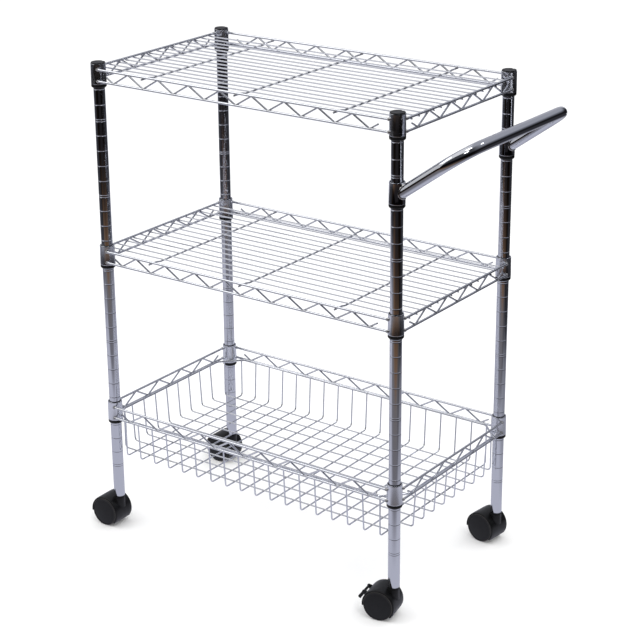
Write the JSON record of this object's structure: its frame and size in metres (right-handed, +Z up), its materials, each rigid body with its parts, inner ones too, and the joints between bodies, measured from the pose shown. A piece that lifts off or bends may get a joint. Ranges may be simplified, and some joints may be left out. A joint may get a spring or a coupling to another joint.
{
  "type": "wire shelf cart",
  "caption": "Rolling rack of chrome wire: open wire shelves above a wire basket on round grooved posts, with a tube push handle at one end and twin-wheel swivel casters.",
  "frame": {"origin": "on the floor, midway between the rearmost point of the left-hand caster hoods and the handle's outermost line, on the cart's long centre plane", "axes": "+X along the long side towards the handle, +Y from the front long side to the rear one, +Z up"},
  "size_m": [0.7383, 0.3734, 0.8203],
  "materials": {
    "post": "polished chrome plating on round steel tube with rolled grooves",
    "cap": "moulded black plastic",
    "socket": "moulded black plastic",
    "frame": "chrome plated welded wire",
    "deck": "chrome plated welded wire",
    "basket": "chrome plated welded wire",
    "sleeve": "moulded black plastic",
    "handle": "polished chrome plating on bent steel tube",
    "stem": "zinc plated",
    "hood": "moulded black plastic, fine texture",
    "axle": "zinc plated",
    "lever": "moulded black plastic",
    "wheel": "moulded black nylon"
  },
  "bodies": {
    "cart": {"post_front_left": "post", "post_front_right": "post", "post_rear_left": "post", "post_rear_right": "post", "post_cap_front_left": "cap", "post_cap_front_right": "cap", "post_cap_rear_left": "cap", "post_cap_rear_right": "cap", "caster_socket_front_left": "socket", "caster_socket_front_right": "socket", "caster_socket_rear_left": "socket", "caster_socket_rear_right": "socket", "frame_top": "frame", "frame_middle": "frame", "frame_basket": "frame", "deck_top": "deck", "deck_middle": "deck", "basket_wires": "basket", "sleeve_top_front_left": "sleeve", "sleeve_top_front_right": "sleeve", "sleeve_top_rear_left": "sleeve", "sleeve_top_rear_right": "sleeve", "sleeve_middle_front_left": "sleeve", "sleeve_middle_front_right": "sleeve", "sleeve_middle_rear_left": "sleeve", "sleeve_middle_rear_right": "sleeve", "sleeve_basket_front_left": "sleeve", "sleeve_basket_front_right": "sleeve", "sleeve_basket_rear_left": "sleeve", "sleeve_basket_rear_right": "sleeve", "sleeve_handle_front_right": "sleeve", "sleeve_handle_rear_right": "sleeve", "handle": "handle"},
    "swivel_front_left": {"caster_stem_front_left": "stem", "caster_hood_front_left": "hood", "caster_axle_front_left": "axle"},
    "wheel_left_front_left": {"wheel_left_front_left": "wheel"},
    "wheel_right_front_left": {"wheel_right_front_left": "wheel"},
    "swivel_front_right": {"caster_stem_front_right": "stem", "caster_hood_front_right": "hood", "caster_axle_front_right": "axle"},
    "wheel_left_front_right": {"wheel_left_front_right": "wheel"},
    "wheel_right_front_right": {"wheel_right_front_right": "wheel"},
    "brake_lever_front_right": {"brake_lever_front_right": "lever"},
    "swivel_rear_left": {"caster_stem_rear_left": "stem", "caster_hood_rear_left": "hood", "caster_axle_rear_left": "axle"},
    "wheel_left_rear_left": {"wheel_left_rear_left": "wheel"},
    "wheel_right_rear_left": {"wheel_right_rear_left": "wheel"},
    "swivel_rear_right": {"caster_stem_rear_right": "stem", "caster_hood_rear_right": "hood", "caster_axle_rear_right": "axle"},
    "wheel_left_rear_right": {"wheel_left_rear_right": "wheel"},
    "wheel_right_rear_right": {"wheel_right_rear_right": "wheel"}
  },
  "joints": [
    {"name": "swivel_front_left_turn", "type": "hinge", "parent": "cart", "child": "swivel_front_left", "pos_m": [-0.322, -0.158, 0.0555], "axis": [0, 0, 1], "continuous": true},
    {"name": "wheel_left_front_left_spin", "type": "hinge", "parent": "swivel_front_left", "child": "wheel_left_front_left", "pos_m": [-0.34099, -0.15853, 0.025], "axis": [-0.0279, 0.9996, 0], "continuous": true},
    {"name": "wheel_right_front_left_spin", "type": "hinge", "parent": "swivel_front_left", "child": "wheel_right_front_left", "pos_m": [-0.34099, -0.15853, 0.025], "axis": [-0.0279, 0.9996, 0], "continuous": true},
    {"name": "swivel_front_right_turn", "type": "hinge", "parent": "cart", "child": "swivel_front_right", "pos_m": [0.248, -0.158, 0.0555], "axis": [0, 0, 1], "continuous": true},
    {"name": "wheel_left_front_right_spin", "type": "hinge", "parent": "swivel_front_right", "child": "wheel_left_front_right", "pos_m": [0.22935, -0.16162, 0.025], "axis": [-0.1908, 0.9816, 0], "continuous": true},
    {"name": "wheel_right_front_right_spin", "type": "hinge", "parent": "swivel_front_right", "child": "wheel_right_front_right", "pos_m": [0.22935, -0.16162, 0.025], "axis": [-0.1908, 0.9816, 0], "continuous": true},
    {"name": "brake_lever_front_right_press", "type": "hinge", "parent": "swivel_front_right", "child": "brake_lever_front_right", "pos_m": [0.20233, -0.16688, 0.04051], "axis": [0.1908, -0.9816, 0], "range_deg": [0, 18]},
    {"name": "swivel_rear_left_turn", "type": "hinge", "parent": "cart", "child": "swivel_rear_left", "pos_m": [-0.322, 0.158, 0.0555], "axis": [0, 0, 1], "continuous": true},
    {"name": "wheel_left_rear_left_spin", "type": "hinge", "parent": "swivel_rear_left", "child": "wheel_left_rear_left", "pos_m": [-0.341, 0.15817, 0.025], "axis": [0.0087, 1, 0], "continuous": true},
    {"name": "wheel_right_rear_left_spin", "type": "hinge", "parent": "swivel_rear_left", "child": "wheel_right_rear_left", "pos_m": [-0.341, 0.15817, 0.025], "axis": [0.0087, 1, 0], "continuous": true},
    {"name": "swivel_rear_right_turn", "type": "hinge", "parent": "cart", "child": "swivel_rear_right", "pos_m": [0.248, 0.158, 0.0555], "axis": [0, 0, 1], "continuous": true},
    {"name": "wheel_left_rear_right_spin", "type": "hinge", "parent": "swivel_rear_right", "child": "wheel_left_rear_right", "pos_m": [0.22912, 0.16015, 0.025], "axis": [0.1132, 0.9936, 0], "continuous": true},
    {"name": "wheel_right_rear_right_spin", "type": "hinge", "parent": "swivel_rear_right", "child": "wheel_right_rear_right", "pos_m": [0.22912, 0.16015, 0.025], "axis": [0.1132, 0.9936, 0], "continuous": true}
  ]
}
